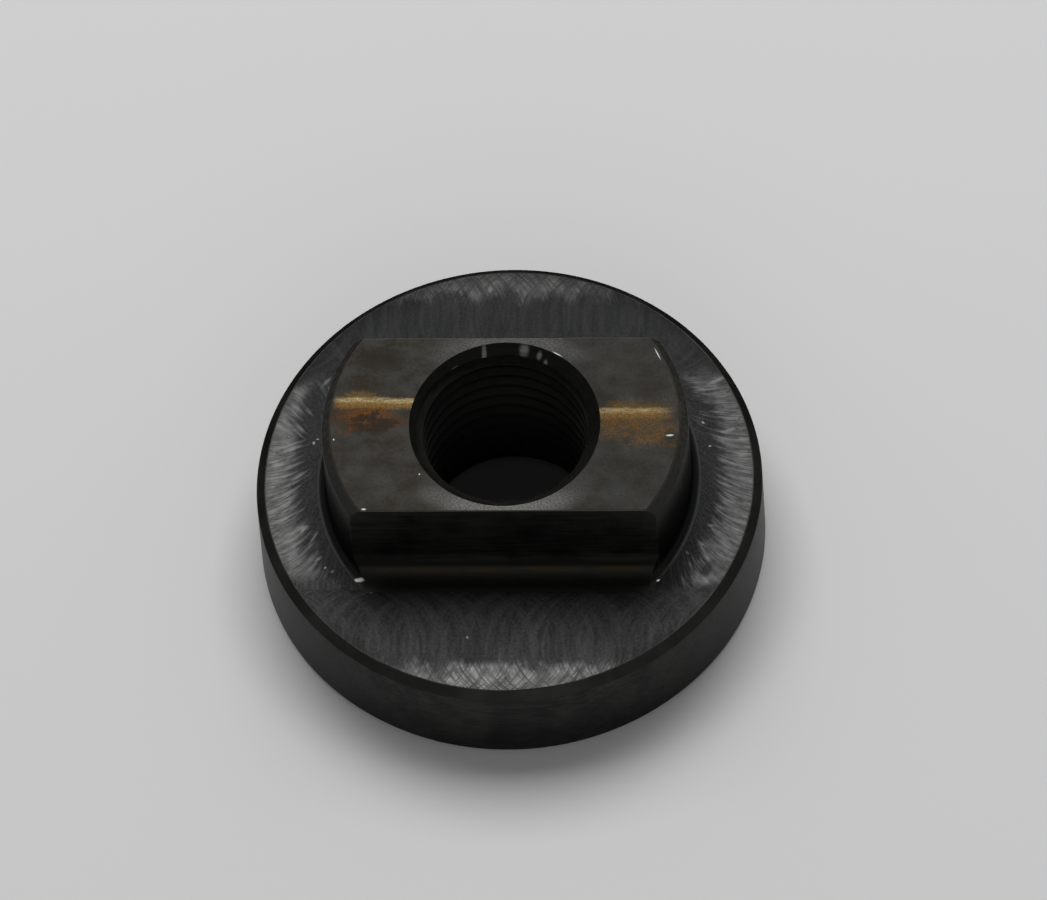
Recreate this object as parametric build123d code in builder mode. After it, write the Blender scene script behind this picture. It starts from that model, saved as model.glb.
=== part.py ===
from build123d import *
import os
from math import sqrt

# Round-flanged T-slot nut, turned and milled from one piece of steel, in millimetres.
# The origin is at the middle of the underside, +Z runs up the bore, and the flats face -Y and +Y.

# Thread, 1/2-20 UNF.
thread_major_diameter = 12.7
threads_per_inch = 20

# Flange, the round head that bears under the slot's lips.
flange_diameter = 34.9
flange_thickness = 7.25
rim_chamfer = 0.6
base_edge_break = 0.3

# Boss, the neck that slides between the slot's lips.
boss_diameter = 25.2
boss_top_chamfer = 0.6
boss_foot_fillet = 0.65
across_flats = 13.9
flat_foot_cove = 2.0
overall_height = 14.65

# Countersink at both mouths of the bore: how far its edge stands outside the thread.
countersink_margin = 0.22

# Derived sizes.
millimetres_per_inch = 25.4
thread_pitch = millimetres_per_inch / threads_per_inch
thread_triangle_height = thread_pitch * sqrt(3) / 2
thread_depth = thread_triangle_height * 5 / 8
thread_minor_radius = thread_major_diameter / 2 - thread_depth
countersink_depth = thread_depth + countersink_margin
flange_radius = flange_diameter / 2
boss_radius = boss_diameter / 2
half_flats = across_flats / 2
cutter_overrun = boss_top_chamfer

os.makedirs("parts", exist_ok=True)

with BuildPart() as t_slot_nut:
    # The turned blank: flange and round boss in one profile, with its chamfers and foot fillet.
    with BuildSketch(Plane.XZ):
        with BuildLine():
            Polyline(
                (0, 0),
                (flange_radius - base_edge_break, 0),
                (flange_radius, base_edge_break),
                (flange_radius, flange_thickness - rim_chamfer),
                (flange_radius - rim_chamfer, flange_thickness),
                (boss_radius, flange_thickness),
                (boss_radius, overall_height - boss_top_chamfer),
                (boss_radius - boss_top_chamfer, overall_height),
                (0, overall_height),
                close=True,
            )
        make_face()
        boss_foot = vertices().sort_by_distance((boss_radius, flange_thickness))[0]
        fillet(boss_foot, radius=boss_foot_fillet)
    revolve(axis=Axis.Z)

    # The tapping hole, countersunk at both ends at 90 degrees.
    Hole(radius=thread_minor_radius)
    bore_wall = faces().filter_by(GeomType.CYLINDER).sort_by(SortBy.RADIUS)[0]
    chamfer(bore_wall.edges().filter_by(GeomType.CIRCLE), length=countersink_depth)

    # The two flats, milled down to the flange by a cutter whose corner radius leaves a cove.
    # The cove ends where the cutter left the round boss, so it stops on the boss's own circle.
    with BuildSketch(Plane.YZ):
        with BuildLine():
            wall = Line(
                (half_flats, overall_height + cutter_overrun),
                (half_flats, flange_thickness + flat_foot_cove),
            )
            cove = CenterArc(
                (half_flats + flat_foot_cove, flange_thickness + flat_foot_cove),
                flat_foot_cove,
                180,
                90,
            )
            Polyline(
                cove @ 1,
                (flange_radius, flange_thickness),
                (flange_radius, overall_height + cutter_overrun),
                wall @ 0,
            )
        make_face()
        mirror(about=Plane.YZ)
    extrude(amount=flange_radius, both=True, mode=Mode.SUBTRACT)

t_slot_nut.part.label = "t_slot_nut"
export_step(t_slot_nut.part, "parts/t_slot_nut.step")
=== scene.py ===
from math import atan2, cos, pi, radians, sin, sqrt

import bmesh
import bpy
from mathutils import Matrix, Vector


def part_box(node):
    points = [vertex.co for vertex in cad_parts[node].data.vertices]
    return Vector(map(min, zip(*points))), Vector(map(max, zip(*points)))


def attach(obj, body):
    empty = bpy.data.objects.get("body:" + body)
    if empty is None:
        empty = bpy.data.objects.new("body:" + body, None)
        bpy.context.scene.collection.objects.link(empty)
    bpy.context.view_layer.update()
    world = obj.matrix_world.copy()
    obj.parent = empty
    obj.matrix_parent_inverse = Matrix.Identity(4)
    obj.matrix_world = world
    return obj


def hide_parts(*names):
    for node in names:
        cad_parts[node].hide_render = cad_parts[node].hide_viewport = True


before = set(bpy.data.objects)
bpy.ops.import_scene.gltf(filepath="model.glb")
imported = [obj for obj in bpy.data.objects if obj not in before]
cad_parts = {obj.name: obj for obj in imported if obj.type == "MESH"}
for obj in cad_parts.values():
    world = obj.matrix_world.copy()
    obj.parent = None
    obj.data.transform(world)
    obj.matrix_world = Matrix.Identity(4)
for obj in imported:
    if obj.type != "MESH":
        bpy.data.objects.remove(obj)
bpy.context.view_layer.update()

mm = 0.001

# ---------------------------------------------------------------------------------------------
# The thread. A 1/2-20 UNF internal thread tapped right through the nut, with a 90-degree
# countersink at each mouth that cuts the first and last turns short.
# ---------------------------------------------------------------------------------------------
nut_low, nut_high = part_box("t_slot_nut")
height = nut_high.z - nut_low.z
inch = 25.4 * mm
threads_per_inch = 20
thread_pitch = inch / threads_per_inch
thread_depth = thread_pitch * sqrt(3) / 2 * 5 / 8
thread_major_radius = inch / 4
thread_minor_radius = thread_major_radius - thread_depth
countersink_margin = 0.22 * mm
mouth_radius = thread_major_radius + countersink_margin
steps_round = 256
steps_per_pitch = 16
weld_gap = 0.001 * mm


class NodeTree:
    """A node tree that plain calls fill, one node at a time."""

    def __init__(self, tree):
        self.tree = tree

    def node(self, kind, settings, inputs):
        """A new node. Its inputs are named, or numbered as i0, i1 and so on, and set or joined."""
        node = self.tree.nodes.new(kind)
        for setting, value in (settings or {}).items():
            setattr(node, setting, value)
        for key, value in inputs.items():
            socket = node.inputs[int(key[1:])] if key[1:].isdigit() else node.inputs[key.replace("_", " ")]
            source = getattr(value, "socket", value)
            if isinstance(source, bpy.types.NodeSocket):
                self.tree.links.new(source, socket)
            else:
                socket.default_value = source
        return node

    def add(self, kind, settings=None, output=0, **inputs):
        return self.node(kind, settings, inputs).outputs[output]

    def math(self, operation, *values):
        inputs = {f"i{place}": value for place, value in enumerate(values)}
        return self.add("ShaderNodeMath", {"operation": operation}, **inputs)


class GeometryTree(NodeTree):
    """A geometry node tree with inputs of its own."""

    def __init__(self, name):
        super().__init__(bpy.data.node_groups.new(name, "GeometryNodeTree"))

    def input(self, name, kind, default):
        socket = self.tree.interface.new_socket(name, in_out="INPUT", socket_type=kind)
        socket.default_value = default


def thread_tree():
    """A flat grid rolled into the thread: its rows run along the helix, its columns up the bore."""
    group = GeometryTree("cut_thread")
    sizes = {
        "Height": height,
        "Pitch": thread_pitch,
        "Major Radius": thread_major_radius,
        "Minor Radius": thread_minor_radius,
        "Mouth Radius": mouth_radius,
    }
    for name, size in sizes.items():
        group.input(name, "NodeSocketFloat", size)
    rows_input = {"Steps Round": steps_round, "Steps Per Pitch": steps_per_pitch}
    for name, count in rows_input.items():
        group.input(name, "NodeSocketInt", count)
    group.tree.interface.new_socket("Mesh", in_out="OUTPUT", socket_type="NodeSocketGeometry")
    given = group.tree.nodes.new("NodeGroupInput").outputs
    math = group.math

    # Two spare turns, one at each end, are squeezed flat against the mouths.
    turns = math("ADD", math("CEIL", math("DIVIDE", given["Height"], given["Pitch"])), 2.0)
    row_count = math("MULTIPLY", turns, given["Steps Per Pitch"])
    grid = group.add(
        "GeometryNodeMeshGrid",
        Size_X=1.0,
        Size_Y=1.0,
        Vertices_X=math("ADD", given["Steps Round"], 1.0),
        Vertices_Y=math("ADD", row_count, 1.0),
    )
    place = group.add("ShaderNodeSeparateXYZ", i0=group.add("GeometryNodeInputPosition")).node.outputs
    round_share = math("ADD", place["X"], 0.5)
    turn = math("MULTIPLY", math("ADD", place["Y"], 0.5), turns)
    climb = math("MULTIPLY", math("SUBTRACT", math("ADD", turn, round_share), 1.0), given["Pitch"])
    level = math("MINIMUM", math("MAXIMUM", climb, 0.0), given["Height"])

    # Root flat an eighth of the pitch wide, crest flat a quarter, straight 60-degree flanks between.
    from_root = math("ABSOLUTE", math("SUBTRACT", math("FRACT", turn), 0.5))
    wall = group.add(
        "ShaderNodeMapRange",
        Value=from_root,
        From_Min=1 / 16,
        From_Max=3 / 8,
        To_Min=given["Major Radius"],
        To_Max=given["Minor Radius"],
    )
    upper_cone = math("SUBTRACT", given["Mouth Radius"], math("SUBTRACT", given["Height"], level))
    lower_cone = math("SUBTRACT", given["Mouth Radius"], level)
    radius = math("MAXIMUM", wall, math("MAXIMUM", upper_cone, lower_cone))
    angle = math("MULTIPLY", round_share, 2 * pi)
    rolled = group.add(
        "ShaderNodeCombineXYZ",
        X=math("MULTIPLY", radius, math("COSINE", angle)),
        Y=math("MULTIPLY", radius, math("SINE", angle)),
        Z=level,
    )
    tube = group.add("GeometryNodeSetPosition", Geometry=grid, Position=rolled)
    welded = group.add("GeometryNodeMergeByDistance", Geometry=tube, Distance=weld_gap)
    real = group.add("GeometryNodeRealizeInstances", Geometry=welded)
    finished = group.add("GeometryNodeSetMaterial", Geometry=real, Material=bpy.data.materials.new("bare"))
    output = group.tree.nodes.new("NodeGroupOutput")
    group.tree.links.new(finished, output.inputs[0])
    return group.tree


def grown_mesh(tree):
    """The plain mesh that a tree makes, with no modifier left behind."""
    carrier = bpy.data.objects.new(tree.name, bpy.data.meshes.new(tree.name))
    bpy.context.scene.collection.objects.link(carrier)
    carrier.modifiers.new(tree.name, "NODES").node_group = tree
    settled = carrier.evaluated_get(bpy.context.evaluated_depsgraph_get())
    mesh = bpy.data.meshes.new_from_object(settled)
    bpy.data.objects.remove(carrier)
    return mesh


thread_mesh = grown_mesh(thread_tree())

# ---------------------------------------------------------------------------------------------
# The nut's body. Turned flange and round neck, then two flats milled on the neck with a cutter
# whose corner radius leaves a cove. The neck's ends keep the turned radius and a small fillet.
# ---------------------------------------------------------------------------------------------
flange_radius = (nut_high.x - nut_low.x) / 2
flange_top = 7.25 * mm
rim_chamfer = 0.6 * mm
base_edge = 0.3 * mm
neck_radius = 25.2 / 2 * mm
neck_chamfer = 0.6 * mm
neck_fillet = 0.65 * mm
half_flats = 13.9 / 2 * mm
cove = 2.0 * mm
corner_ease = 0.12 * mm
edge_ease = 0.06 * mm
sharp_angle = radians(24)
arc_steps = 46
corner_steps = 5
flat_steps = steps_round // 2 - arc_steps - 2 * corner_steps
cove_steps = 22

turned, milled_flange, milled_top, threaded, chamfered = range(5)


def neck_outline(turned_radius, flat_distance, level):
    """The neck's plan at one level: two arcs about the bore, two flats, and eased corners."""
    centre_x = sqrt((turned_radius - corner_ease) ** 2 - (flat_distance - corner_ease) ** 2)
    centre_y = flat_distance - corner_ease
    start = atan2(centre_y, centre_x)
    half = []
    for step in range(arc_steps + 1):
        angle = -start + 2 * start * step / arc_steps
        half.append((turned_radius * cos(angle), turned_radius * sin(angle)))
    for step in range(1, corner_steps + 1):
        angle = start + (pi / 2 - start) * step / corner_steps
        half.append((centre_x + corner_ease * cos(angle), centre_y + corner_ease * sin(angle)))
    flat_start = atan2(flat_distance, centre_x)
    for step in range(1, flat_steps):
        angle = flat_start + (pi - 2 * flat_start) * step / flat_steps
        half.append((flat_distance * cos(angle) / sin(angle), flat_distance))
    for step in range(corner_steps):
        angle = pi / 2 + (pi / 2 - start) * step / corner_steps
        half.append((-centre_x + corner_ease * cos(angle), centre_y + corner_ease * sin(angle)))
    whole = half + [(-x, -y) for x, y in half]
    return [Vector((x, y, level)) for x, y in whole]


def circle(radius, level):
    """One turned ring, whose first point lies on +X as the thread's does."""
    angles = [2 * pi * step / steps_round for step in range(steps_round)]
    return [Vector((radius * cos(angle), radius * sin(angle), level)) for angle in angles]


def turned_to_match(ring):
    """The same ring, counted from the point nearest +X, so that it pairs with a circle."""
    shift = arc_steps // 2
    return ring[shift:] + ring[:shift]


def between(outer, inner, shares):
    """Rings laid between two others, for a flat face that is wide on one side and narrow on another."""
    return [[a.lerp(b, share) for a, b in zip(outer, inner)] for share in shares]


def foot_reach(radius, rise):
    """How far a quarter-round foot of this radius stands out, at a height above the flange."""
    if rise >= radius:
        return 0.0
    return radius - sqrt(radius**2 - (radius - rise) ** 2)


# Each band is (material, ring), and joins its ring to the one before.
rim_edge = flange_radius - edge_ease / 2
bands = [
    (turned, circle(mouth_radius, 0.0)),
    (turned, circle(flange_radius - base_edge, 0.0)),
    (turned, circle(flange_radius, base_edge)),
    (turned, circle(flange_radius, flange_top - rim_chamfer - edge_ease)),
    (turned, circle(rim_edge, flange_top - rim_chamfer + edge_ease / 2)),
    (chamfered, circle(flange_radius - rim_chamfer + edge_ease / 2, flange_top - edge_ease / 2)),
    (turned, circle(flange_radius - rim_chamfer - edge_ease, flange_top)),
]
foot = turned_to_match(neck_outline(neck_radius + neck_fillet, half_flats + cove, flange_top))
bands += [(milled_flange, ring) for ring in between(bands[-1][1], foot, (0.25, 0.5, 0.75, 1.0))]
for step in range(1, cove_steps + 1):
    rise = cove * (1 - cos(pi / 2 * step / cove_steps))
    ring = neck_outline(
        neck_radius + foot_reach(neck_fillet, rise), half_flats + foot_reach(cove, rise), flange_top + rise
    )
    bands.append((turned, turned_to_match(ring)))
neck_top_rings = [
    (turned, neck_radius, half_flats, height - neck_chamfer - edge_ease),
    (turned, neck_radius - edge_ease / 2, half_flats, height - neck_chamfer + edge_ease / 2),
    (chamfered, neck_radius - neck_chamfer + edge_ease, half_flats, height - edge_ease),
    (milled_top, neck_radius - neck_chamfer - edge_ease / 2, half_flats - edge_ease, height),
]
bands += [(band, turned_to_match(neck_outline(*sizes))) for band, *sizes in neck_top_rings]
mouth = circle(mouth_radius, height)
bands += [(milled_top, ring) for ring in between(bands[-1][1], mouth, (0.3, 0.6, 1.0))]


def nut_mesh():
    """The outer rings and the thread welded into one closed skin."""
    bm = bmesh.new()
    bm.from_mesh(thread_mesh)
    for face in bm.faces:
        face.material_index = threaded
    last = [bm.verts.new(point) for point in bands[0][1]]
    for material, ring in bands[1:]:
        verts = [bm.verts.new(point) for point in ring]
        for place in range(steps_round):
            after = (place + 1) % steps_round
            face = bm.faces.new((last[place], last[after], verts[after], verts[place]))
            face.material_index = material
        last = verts
    bmesh.ops.remove_doubles(bm, verts=bm.verts, dist=weld_gap)
    bmesh.ops.dissolve_degenerate(bm, edges=bm.edges, dist=weld_gap / 2)
    loose = [vert for vert in bm.verts if not vert.link_faces]
    bmesh.ops.delete(bm, geom=loose, context="VERTS")
    bmesh.ops.recalc_face_normals(bm, faces=bm.faces)
    for face in bm.faces:
        face.smooth = True
    mesh = bpy.data.meshes.new("t_slot_nut_skin")
    bm.to_mesh(mesh)
    bm.free()
    mesh.set_sharp_from_angle(angle=sharp_angle)
    return mesh


nut = bpy.data.objects.new("machined_nut", nut_mesh())
bpy.context.scene.collection.objects.link(nut)

# ---------------------------------------------------------------------------------------------
# The finish. Black oxide over machined steel: near-black, satin, with every tool mark showing
# through as a thin bare line. It has rubbed through and rusted on the neck's top.
# ---------------------------------------------------------------------------------------------
class Wire:
    """A shader value that takes part in plain arithmetic."""

    def __init__(self, shader, socket):
        self.shader = shader
        self.socket = socket

    def __add__(self, other):
        return self.shader.math("ADD", self, other)

    def __sub__(self, other):
        return self.shader.math("SUBTRACT", self, other)

    def __rsub__(self, other):
        return self.shader.math("SUBTRACT", other, self)

    def __mul__(self, other):
        return self.shader.math("MULTIPLY", self, other)

    def __truediv__(self, other):
        return self.shader.math("DIVIDE", self, other)

    def __abs__(self):
        return self.shader.math("ABSOLUTE", self)

    __radd__ = __add__
    __rmul__ = __mul__


class Nodes(NodeTree):
    """A shader node tree, filled by plain expressions."""

    def __init__(self, tree):
        super().__init__(tree)
        self.tree.nodes.clear()

    def add(self, kind, settings=None, output=0, **inputs):
        outputs = self.node(kind, settings, inputs).outputs
        return Wire(self, outputs[output]) if outputs else None

    def root(self, value):
        return self.math("SQRT", self.math("MAXIMUM", value, 0.0))

    def ramp(self, value, low, high, out_low=0.0, out_high=1.0):
        """A smooth step from out_low to out_high as value goes from low to high."""
        return self.add(
            "ShaderNodeMapRange",
            {"interpolation_type": "SMOOTHSTEP"},
            Value=value,
            From_Min=low,
            From_Max=high,
            To_Min=out_low,
            To_Max=out_high,
        )

    def noise(self, x, y, z=0.0, scale=1.0, detail=2.0):
        place = self.add("ShaderNodeCombineXYZ", X=x, Y=y, Z=z)
        return self.add("ShaderNodeTexNoise", Vector=place, Scale=scale, Detail=detail)

    def blend(self, share, first, second):
        """A colour between two others: first at 0, second at 1."""
        return self.add("ShaderNodeMix", {"data_type": "RGBA"}, output=2, i0=share, i6=first, i7=second)


class Finish(Nodes):
    """One material, written as expressions on the piece's own coordinates in millimetres."""

    def __init__(self, name):
        self.material = bpy.data.materials.new(name)
        self.material.use_nodes = True
        super().__init__(self.material.node_tree)
        self.position = self.add("ShaderNodeTexCoord", output="Object")
        parts = self.add("ShaderNodeSeparateXYZ", i0=self.position).socket.node.outputs
        self.x, self.y, self.z = (Wire(self, parts[axis]) / mm for axis in "XYZ")

    def oval(self, x, y, length, width, angle=0.0):
        """How far out a point lies from an oval's middle: 1 on its edge."""
        lay_x, lay_y = cos(radians(angle)), sin(radians(angle))
        along = ((self.x - x) * lay_x + (self.y - y) * lay_y) * (2 / length)
        aside = ((self.y - y) * lay_x - (self.x - x) * lay_y) * (2 / width)
        return self.root(along * along + aside * aside)

    def spot_marks(self, spots):
        """A mask with one oval for each spot, for knocked-off oxide, scrapes and dull spots, and for
        painted glints.
        """
        masks = [self.ramp(self.oval(*spot), 1.0, 0.3) for spot in spots]
        whole = masks[0]
        for mask in masks[1:]:
            whole = self.math("MAXIMUM", whole, mask)
        return whole

    def close(self, colour, roughness, relief, depth, edge=1.0):
        """Ends the material in a metal surface: its colour, roughness, relief, and how much of a
        mirror it becomes at a grazing angle."""
        normal = self.add("ShaderNodeBump", Strength=1.0, Distance=depth, Height=relief)
        steel = self.add(
            "ShaderNodeBsdfPrincipled",
            Base_Color=colour,
            Metallic=1.0,
            Roughness=roughness,
            Specular_Tint=(edge, edge, edge, 1),
            Normal=normal,
        )
        self.add("ShaderNodeOutputMaterial", Surface=steel)
        return self.material


# Black oxide on each kind of surface, then the same oxide thinned, mottled and stained, and tones for
# painted shade and painted light.
oxide = (0.0085, 0.0088, 0.0086, 1)
flange_oxide = (0.0064, 0.0066, 0.0066, 1)
turned_oxide = (0.036, 0.036, 0.034, 1)
deep_oxide = (0.018, 0.018, 0.018, 1)
wall_oxide = (0.040, 0.043, 0.038, 1)
neck_oxide = (0.016, 0.016, 0.015, 1)
# A darker tone for painted shade at the neck's foot.
foot_shade = (0.0105, 0.0112, 0.0112, 1)
cove_oxide = (0.015, 0.015, 0.0125, 1)
bore_oxide = (0.0055, 0.0055, 0.005, 1)
# A lighter tone for painted light deep in the bore.
deep_bore_light = (0.050, 0.050, 0.047, 1)
# The countersink's oxide, also used for painted shade in the coves.
cone_oxide_and_cove_shade = (0.006, 0.006, 0.0055, 1)
chamfer_oxide = (0.021, 0.021, 0.019, 1)
worn_chamfer = (0.031, 0.031, 0.029, 1)
neck_chamfer_oxide = (0.064, 0.060, 0.052, 1)
grey_oxide = (0.0210, 0.0204, 0.0190, 1)
brown_oxide = (0.0112, 0.0090, 0.0063, 1)
green_oxide = (0.0128, 0.0142, 0.0115, 1)

# Steel where the oxide is gone, and the stains and rust on it.
bare_steel = (0.295, 0.295, 0.29, 1)
# Very bright steel, used only for painted glints.
painted_glint_steel = (0.62, 0.62, 0.60, 1)
brassy_stain = (0.155, 0.124, 0.066, 1)
gold_stain = (0.080, 0.046, 0.012, 1)
olive_stain = (0.042, 0.029, 0.009, 1)
# A rust tint for the painted highlight along each cove.
rusty_cove_highlight = (0.030, 0.022, 0.012, 1)
rust = (0.070, 0.0260, 0.0045, 1)
dark_rust = (0.0075, 0.0050, 0.0030, 1)

# The end mill that faced the flange, in millimetres as the finishes are: its radius on the round
# passes, and the radius and the distance from the bore of its straight passes.
cutter_radius = 6.35
straight_radius = 4.7
straight_path = 13.2

# Far enough to move a pattern so that it doesn't repeat on the other side of the nut.
far_apart = 60


def turned_finish():
    """Turned surfaces and the milled walls: fine rings, dark and smooth. Painted shade darkens the neck's
    foot and the upper part of each cove, a thin rust-tinted painted highlight runs along the middle of
    each cove, and painted glints sit at the foot's front corners."""
    f = Finish("turned_black_oxide")
    out = f.root(f.x * f.x + f.y * f.y)
    rings = f.noise(out, f.z, scale=9.0, detail=3.0)
    patches = f.noise(f.x, f.y, f.z, scale=0.5, detail=4.0)
    drag = f.noise(f.x * 0.25, f.y * 4.0, f.z * 4.0, scale=1.0, detail=3.0)
    tone = f.ramp(patches * 0.5 + drag * 0.5, 0.35, 0.65)

    flange_z, wall_y = flange_top / mm, half_flats / mm
    cove_highlight_z = flange_z + cove * (1 - cos(pi / 4)) / mm
    on_neck = f.ramp(out, 14.4, 14.1) * f.ramp(f.z, flange_z - 0.2, flange_z - 0.1)
    on_flat = on_neck * f.ramp(abs(f.y), wall_y - 0.03, wall_y - 0.005)
    in_cove = on_neck * f.ramp(abs(f.y), wall_y + 0.02, wall_y + 0.35)
    in_foot = on_neck * f.ramp(f.z, flange_z + 0.75, flange_z + 0.3)
    # Painted shade: the neck's lowest part, round its fillet, is darkened, and the coves take their own
    # darker tone.
    dark = f.math("MAXIMUM", in_cove, in_foot)
    flange_tone = f.blend(tone, deep_oxide, turned_oxide)
    neck_tone = f.blend(tone, cove_oxide, neck_oxide)
    colour = f.blend(on_neck, flange_tone, neck_tone)
    colour = f.blend(on_flat, colour, f.blend(tone, neck_oxide, wall_oxide))
    colour = f.blend(dark * 0.85, colour, f.blend(in_cove, foot_shade, cove_oxide))
    # Painted shade over the upper part of each cove, between the wall and the painted highlight.
    cove_shade = in_cove * f.ramp(f.z, flange_z + 0.62, flange_z + 0.9)
    colour = f.blend(cove_shade * 0.85, colour, cone_oxide_and_cove_shade)

    # A thin rust-tinted painted highlight along the middle of each cove, where its face leans at 45
    # degrees.
    off_cove_highlight = abs(f.z - cove_highlight_z)
    off_ends = f.ramp(out, neck_radius / mm - 0.1, neck_radius / mm - 0.9)
    cove_highlight = f.ramp(off_cove_highlight, 0.16, 0.05) * in_cove * off_ends
    colour = f.blend(cove_highlight * f.ramp(drag + patches, 0.7, 1.25), colour, rusty_cove_highlight)
    # Painted glints at the two front corners of the neck's foot, where each cove ends.
    knocks_and_glints = f.spot_marks([(-10.1, -8.05, 0.9, 0.36, -12), (10.45, -8.1, 0.4, 0.2, 15)]) * in_foot
    colour = f.blend(knocks_and_glints, colour, painted_glint_steel)
    roughness = 0.32 + 0.12 * patches + 0.1 * on_flat
    return f.close(colour, roughness, rings, 0.01 * mm, edge=0.85)


def chamfer_finish():
    """The turned chamfers: rougher and blacker than the faces they join."""
    f = Finish("chamfer_black_oxide")
    patches = f.noise(f.x, f.y, f.z, scale=0.4, detail=4.0)
    # Painted highlights: a spot on the rim's chamfer at the front, a glint along the neck's chamfer at the
    # back right, and a glint by the right front corner.
    knocks_and_glints = f.spot_marks([(4.4, -17.1, 0.7, 0.5, 15), (10.55, 5.5, 1.6, 0.2, -65), (10.5, -8.2, 0.3, 0.2, 0)])
    colour = f.blend(f.ramp(patches, 0.35, 0.7), chamfer_oxide, worn_chamfer)
    on_neck = f.ramp(f.z, height / mm - 0.9, height / mm - 0.7)
    specks = f.noise(f.x, f.y, f.z, scale=3.0, detail=3.0)
    mixed = f.ramp(specks, 0.3, 0.7) * f.ramp(f.y, -6.0, 2.0, 0.15, 1.0)
    colour = f.blend(on_neck, colour, f.blend(mixed, turned_oxide, neck_chamfer_oxide))
    colour = f.blend(knocks_and_glints * 0.6, colour, bare_steel)
    return f.close(colour, 0.42 + 0.1 * patches, patches, 0.01 * mm, edge=0.3)


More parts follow.
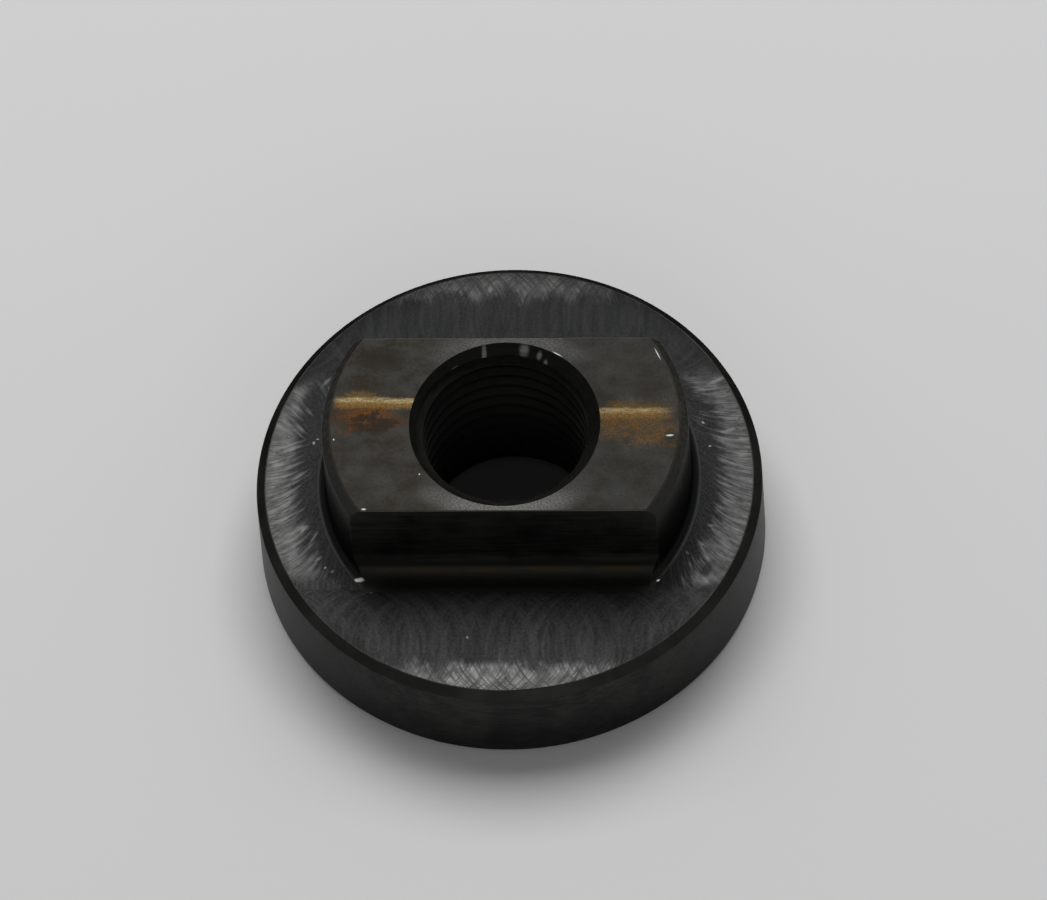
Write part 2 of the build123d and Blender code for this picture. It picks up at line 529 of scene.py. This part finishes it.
def flange_finish():
    """The flange's upper face: arcs left by the end mill, straight passes beside the flats and a fan of
    arcs round each end. Towards the rim the arcs are worn and carry a painted sheen, drawn as bright bare
    steel, set lighter or darker on each side of the nut."""
    f = Finish("milled_flange_black_oxide")
    out = f.root(f.x * f.x + f.y * f.y)
    side_x = f.math("SIGN", f.x)
    side_y = f.math("SIGN", f.y)
    wander = f.noise(f.x, f.y, scale=0.55, detail=3.0) - 0.5
    patches = f.noise(f.x, f.y, scale=0.9, detail=3.0)
    grain = f.ramp(patches, 0.25, 0.75)
    grit = f.noise(f.x, f.y, 5.0, scale=5.0, detail=3.0)

    # Round passes: the cutter's centre runs round each end of the neck, and its arcs fold together
    # at one bearing, where the pass begins and ends.
    path = neck_radius / mm + cutter_radius
    lean = f.math("ARCCOSINE", (out * out + (path**2 - cutter_radius**2)) / (out * (2 * path)))
    bearing = f.math("ARCTAN2", f.y, abs(f.x))
    fold = 0.415 + 0.185 * side_x
    fan = (abs(bearing - fold) - lean) * path + side_x * far_apart
    rays = f.noise(fan, out * 0.2, scale=3.2, detail=4.0)
    scores = f.noise(fan, out * 0.12, 9.0, scale=2.2, detail=1.0)
    ray_lines = f.ramp(abs(scores - 0.5), 0.0, 0.03)
    # Painted light: the rays' floor is set higher on the left of the nut than on the right.
    ray_floor = 0.28 - 0.14 * side_x
    ray_light = (ray_floor + (1 - ray_floor) * f.ramp(rays, 0.3, 0.7)) * (0.35 + 0.65 * ray_lines)
    short_rays = f.ramp(f.x, -8.0, -10.0) * f.ramp(f.y, 0.5, 5.0)
    rays_start = 14.75 + 0.7 * short_rays
    ray_edge = f.ramp(out - rays_start + wander * 3.0 + (rays - 0.5) * 3.0, -0.8, 0.9)
    ray_edge = ray_edge * f.ramp(abs(f.y), 9.2, 6.2 + side_x, 0.4, 1.0)

    # Straight passes: the cutter's centre runs along X, outside each flat.
    across = f.math("MAXIMUM", (abs(f.y) - straight_path) / straight_radius, -0.95)
    reach = f.root(1 - across * across) * straight_radius
    fine, lines, sweeps = [], [], []
    for turn in (-1, 1):
        feed = f.x + reach * turn + side_y * far_apart
        fine.append(f.noise(feed, f.y * 0.12, turn, scale=5.0, detail=2.0))
        score = f.noise(feed, f.y * 0.08, turn + 5.0, scale=1.0, detail=1.5)
        lines.append(f.ramp(abs(score - 0.5), 0.0, 0.05))
        sweeps.append(f.noise(feed, f.y * 0.1, turn + 9.0, scale=1.6, detail=4.0))
    hatch = f.math("MINIMUM", fine[0], fine[1])
    hatch_lines = f.math("MINIMUM", lines[0], lines[1])
    hatch_light = (0.35 + 0.65 * f.ramp(hatch, 0.30, 0.60)) * (0.45 + 0.55 * hatch_lines)
    sweep = f.ramp(f.math("MAXIMUM", sweeps[0], sweeps[1]), 0.42, 0.66)
    hatch_start = 15.1
    hatch_edge = f.ramp(abs(f.y) - hatch_start + wander * 3.0 + (hatch - 0.45) * 1.2, -0.9, 0.9)

    # Beside the flats the straight passes take over, along a ragged line.
    passed = abs(f.y) - 0.35 * side_x
    straight = f.ramp(passed + wander * 2.4 + (rays - 0.5) * 1.2, 7.8, 8.9)
    lit = ray_light + (hatch_light - ray_light) * straight
    # Painted sheen where the tool marks catch the light, drawn as bare steel towards the rim, together
    # with wear.
    rubbed_and_sheen = ray_edge + (hatch_edge - ray_edge) * straight
    dull_spots = [(-13.7, 6.6, 3.0, 1.9, 60), (13.7, -7.3, 2.8, 1.0, 60), (-12.9, -8.6, 2.6, 1.8, 40)]
    dull = f.spot_marks(dull_spots)
    rubbed_and_sheen = rubbed_and_sheen * (1 - 0.75 * dull)
    # Painted light: the sheen is set lighter on the left than on the right, and beside the flats lighter
    # in front than behind.
    sheen_strength = 0.099 - 0.013 * side_x + straight * (0.041 - 0.064 * side_y)
    marks = lit * 0.4 + sweep * straight * 0.45 + f.ramp(grit, 0.3, 0.7) * (0.6 - 0.2 * straight)
    # Painted light: the straight passes' marks are set lighter in front than behind.
    faint = 0.025 + (0.010 - 0.013 * side_y) * straight
    shade = rubbed_and_sheen * (0.02 + sheen_strength * lit * (0.45 + grain)) + marks * faint

    scrapes = f.spot_marks(
        [
            (15.2, 4.0, 0.9, 0.4, 20),
            (13.4, -5.2, 0.9, 0.25, -45),
            (12.4, -5.9, 0.5, 0.25, -45),
            (14.0, -3.7, 0.8, 0.35, -10),
            (13.4, -8.0, 1.6, 1.0, -30),
            (14.2, 8.0, 2.2, 0.4, 28),
            (-12.8, 8.0, 1.2, 0.35, 50),
            (-12.5, 7.3, 0.9, 0.3, -60),
            (-14.1, -3.8, 1.1, 0.6, 20),
            (-13.0, -6.3, 0.9, 0.35, 40),
            (-12.0, -7.3, 0.5, 0.3, 40),
            (-13.3, -4.5, 1.3, 0.25, 60),
        ]
    )
    # Knocked-off oxide in small specks, and a painted glint where the front left cove ends on the flange.
    knocks_and_glints = f.spot_marks(
        [
            (-13.55, 3.05, 0.36, 0.26, 70),
            (-13.3, 3.35, 0.24, 0.16, 0),
            (-12.5, -7.0, 0.3, 0.2, 60),
            (-9.4, -8.9, 0.7, 0.16, -35),
            (13.8, 2.7, 0.3, 0.2, 10),
            (13.3, 4.6, 0.35, 0.2, -45),
            (-2.6, -12.6, 0.2, 0.3, 0),
        ]
    )
    bare = f.math("MAXIMUM", shade + scrapes * 0.10 * (0.4 + grit), knocks_and_glints * 0.3)
    colour = f.blend(bare, flange_oxide, bare_steel)
    roughness = 0.42 - 0.08 * rubbed_and_sheen
    return f.close(colour, roughness, lit, 0.009 * mm)


def top_finish():
    """The neck's top: faint straight tool lines, and a rubbed, brassy and rusted band across it.
    Beside the bore, where the face is narrowest, the oxide is worn thin."""
    f = Finish("milled_top_black_oxide")
    out = f.root(f.x * f.x + f.y * f.y)
    lines = f.noise(f.x * 0.06, f.y, scale=4.0, detail=3.0)
    patches = f.noise(f.x, f.y, scale=0.5, detail=4.0)
    fine = f.noise(f.x, f.y, scale=3.5, detail=5.0)
    grit = f.noise(f.x, f.y, 3.0, scale=9.0, detail=2.0)
    side_x = f.math("SIGN", f.x)

    spread = f.noise(f.x * 0.7, f.y, 11.0, scale=0.8, detail=6.0)
    mottle = f.blend(f.ramp(spread * 0.6 + fine * 0.4, 0.36, 0.64), brown_oxide, grey_oxide)
    mottle = f.blend(f.ramp(fine - patches * 0.4, 0.2, 0.5) * 0.6, mottle, green_oxide)
    old_rust = f.ramp(f.oval(-8.6, 5.2, 4.6, 2.8) + (fine - 0.5) * 1.5, 1.1, 0.5)
    mottle = f.blend(old_rust * 0.55, mottle, dark_rust)
    mottle = f.blend(0.09 + 0.09 * side_x, mottle, oxide)
    worn = f.ramp(abs(f.y), 4.4, 6.8) * f.ramp(out, 8.6, 6.7) * f.ramp(f.y, -2.0, 2.0, 1.0, 0.5)
    mottle = f.blend(worn * (0.05 + 0.19 * grit), mottle, bare_steel)

    # The rust has a dark middle and an orange edge on the left, and is mottled through on the right.
    mid = f.noise(f.x * 0.8, f.y * 1.2, 8.0, scale=1.2, detail=3.0)
    blot = (fine - 0.5) * 1.2 + (mid - 0.5) * 1.6
    left_blot = f.oval(-9.4, 0.4, 4.8, 2.4) + blot
    right_blot = f.oval(9.2, 0.0, 5.2, 3.0, -10) + blot
    rough_grain = f.ramp(grit * 0.6 + fine * 0.4, 0.36, 0.62)
    left_inside = f.ramp(left_blot, 1.35, 0.5)
    ragged = (mid - 0.5) * 3.5 + (fine - 0.5) * 2.0
    left_edge = f.math("MAXIMUM", f.ramp(f.y + ragged, 0.2, 1.3), f.ramp(f.x + ragged, -10.1, -11.4) * 0.7)
    left_edge = f.math("MAXIMUM", left_edge, f.ramp(f.x + ragged, -8.4, -7.1) * 0.6)
    colour = f.blend(left_inside * 0.75, mottle, dark_rust)
    left_rust = left_inside * (0.06 + 0.72 * left_edge) * (0.45 + 0.55 * rough_grain)
    right_rust = f.ramp(right_blot, 1.3, 0.6) * f.ramp(mid, 0.64, 0.44) * rough_grain * 0.6
    colour = f.blend(f.ramp(right_blot, 1.5, 0.6) * 0.35, colour, olive_stain)
    colour = f.blend(f.math("MAXIMUM", left_rust, right_rust), colour, rust)

    rise = 1.38 - 0.42 * side_x + 0.08 * f.ramp(f.x, -7.6, -8.8)
    line = f.y - rise + (fine - 0.5) * 0.3
    ends = f.ramp(f.x, -12.0, -11.2) * f.ramp(f.x, 12.0, 9.6)
    halo = f.ramp(abs(line - 0.1 + (fine - 0.5) * 0.9), 1.1, 0.2) * f.ramp(abs(f.x), 6.8, 8.6)
    colour = f.blend(halo * (0.3 + 0.25 * side_x) * ends, colour, olive_stain)
    above = f.ramp(f.oval(-10.0, 2.3, 2.6, 1.0) + (fine - 0.5) * 2.0, 1.1, 0.4)
    colour = f.blend(above * 0.45, colour, gold_stain)
    streak = f.ramp(f.noise(f.x * 0.7, f.y * 4.0, 2.0, scale=1.6, detail=4.0), 0.32, 0.68, 0.3, 1.0)
    gold = f.ramp(abs(line + 0.14), 0.58, 0.2) * (0.65 + 0.35 * rough_grain) * ends
    colour = f.blend(gold * (0.8 - 0.15 * side_x), colour, gold_stain)
    core = f.ramp(abs(line - 0.08), 0.34, 0.02) * streak * ends
    colour = f.blend(core * (0.9 - 0.15 * side_x), colour, brassy_stain)
    # Painted glints on the top: at its right end and front left corner, along the back right chamfer and
    # the countersink's rim, and two small specks.
    knocks_and_glints = f.spot_marks(
        [
            (11.35, -0.95, 0.7, 0.2, 4),
            (-9.5, -6.8, 0.42, 0.2, 0),
            (-5.75, -4.0, 0.16, 0.16, 0),
            (-11.7, -1.2, 0.14, 0.2, 0),
            (10.4, 5.6, 1.3, 0.1, -65),
            (3.5, 5.62, 1.0, 0.1, -32),
        ]
    )
    colour = f.blend(f.ramp(grit, 0.38, 0.62, 0.45, 0.0), colour, oxide)
    eased = f.ramp(f.z, height / mm - 0.005, height / mm - 0.03)
    colour = f.blend(eased, colour, neck_chamfer_oxide)
    colour = f.blend(knocks_and_glints * 0.7, colour, bare_steel)
    roughness = 0.36 + 0.12 * fine
    return f.close(colour, roughness, lines + grit * 0.3, 0.01 * mm)


def thread_finish():
    """The tapped thread: the darkest surface, a little oily, with painted light deeper down the bore. The
    countersink carries painted glints at the back.
    """
    f = Finish("tapped_black_oxide")
    drag = f.noise(f.x, f.y, f.z * 6.0, scale=1.2, detail=3.0)
    in_mouth = f.ramp(f.z, height / mm - 1.0, height / mm - 0.8)
    depth = f.ramp(f.z, height / mm - 1.0, height / mm - 7.0)
    # Painted light: the bore's wall is made lighter further down, against the shade that deepens there.
    walls = f.blend(drag * 0.5 + depth * 0.5, bore_oxide, deep_bore_light)
    colour = f.blend(in_mouth, walls, f.blend(drag, cone_oxide_and_cove_shade, chamfer_oxide))
    # Painted glints on the countersink at the back.
    countersink_glints = f.spot_marks(
        [
            (1.2, 6.15, 0.9, 1.1, 0),
            (-1.55, 5.9, 0.45, 1.5, 0),
            (2.25, 5.75, 0.5, 0.6, -20),
            (2.65, 5.25, 0.4, 0.6, -20),
            (-3.6, 4.7, 1.1, 0.35, 45),
        ]
    )
    countersink_glints = countersink_glints * in_mouth * f.ramp(drag, 0.15, 0.6)
    colour = f.blend(countersink_glints * 0.6, colour, bare_steel)
    return f.close(colour, 0.62 + 0.1 * drag, drag, 0.01 * mm, edge=0.3)


for finish in (turned_finish(), flange_finish(), top_finish(), thread_finish(), chamfer_finish()):
    nut.data.materials.append(finish)
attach(nut, "root")
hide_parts("t_slot_nut")

# ---------------------------------------------------------------------------------------------
# The table it lies on: one pale, matt sheet that takes the soft shadow.
# ---------------------------------------------------------------------------------------------
table_size = 6.0
table_colour = (0.615, 0.615, 0.615, 1)

bpy.ops.mesh.primitive_plane_add(size=table_size, location=(0, 0, 0))
table = bpy.context.object
table.name = "table"
paper = Finish("pale_table")
matt = paper.add("ShaderNodeBsdfPrincipled", Base_Color=table_colour, Roughness=0.9)
paper.add("ShaderNodeOutputMaterial", Surface=matt)
table.data.materials.append(paper.material)

# ---------------------------------------------------------------------------------------------
# Light: a large soft box high behind the nut, a weak one low in front, and an even pale room
# whose ceiling is darker than its walls.
# ---------------------------------------------------------------------------------------------
box_distance = 0.6
ceiling_level = 0.04
wall_level = 0.48


def soft_box(name, bearing, rise, width, length, power):
    """An area light on a sphere about the nut, at a bearing from the front and a rise in degrees."""
    turned_by, raised_by = radians(bearing), radians(rise)
    place = box_distance * Vector(
        (sin(turned_by) * cos(raised_by), -cos(turned_by) * cos(raised_by), sin(raised_by))
    )
    lamp = bpy.data.lights.new(name, "AREA")
    lamp.shape = "RECTANGLE"
    lamp.size = width
    lamp.size_y = length
    lamp.energy = power
    holder = bpy.data.objects.new(name, lamp)
    holder.location = place
    holder.rotation_euler = place.to_track_quat("Z", "Y").to_euler()
    bpy.context.scene.collection.objects.link(holder)


soft_box("back_box", 184, 61, 0.56, 0.38, 3.25)
soft_box("front_fill", 5, 30, 0.5, 0.3, 0.3)

world = bpy.data.worlds.new("room")
bpy.context.scene.world = world
world.use_nodes = True
room = Nodes(world.node_tree)
up_share = room.add("ShaderNodeSeparateXYZ", output=2, i0=room.add("ShaderNodeTexCoord"))
glow = room.ramp(up_share, 0.35, 1.0, wall_level, ceiling_level)
background = room.add("ShaderNodeBackground", Color=(1, 1, 1, 1), Strength=glow)
room.add("ShaderNodeOutputWorld", Surface=background)

# ---------------------------------------------------------------------------------------------
# Camera: far off with a long lens, looking down on the nut from the front.
# ---------------------------------------------------------------------------------------------
azimuth, elevation, roll = radians(5.06), radians(58.5), radians(-4.52)
distance = 72 * flange_radius
frame_width = 4.15 * flange_radius
sensor_width = 36.0
back = Vector((sin(azimuth) * cos(elevation), -cos(azimuth) * cos(elevation), sin(elevation)))
right = Vector((0, 0, 1)).cross(back).normalized()
up = back.cross(right)
right, up = right * cos(roll) + up * sin(roll), up * cos(roll) - right * sin(roll)
look_at = Vector((0.0433 * flange_radius, 0.26 * flange_radius, 0.2 * flange_radius + 0.3 * mm))

camera_data = bpy.data.cameras.new("camera")
camera_data.sensor_width = sensor_width
camera_data.lens = sensor_width * distance / frame_width
camera_data.clip_end = 20.0
camera = bpy.data.objects.new("camera", camera_data)
turn = Matrix((right, up, back)).transposed().to_4x4()
camera.matrix_world = Matrix.Translation(look_at + back * distance) @ turn
bpy.context.scene.collection.objects.link(camera)
bpy.context.scene.camera = camera
bpy.context.scene.view_settings.view_transform = "Standard"
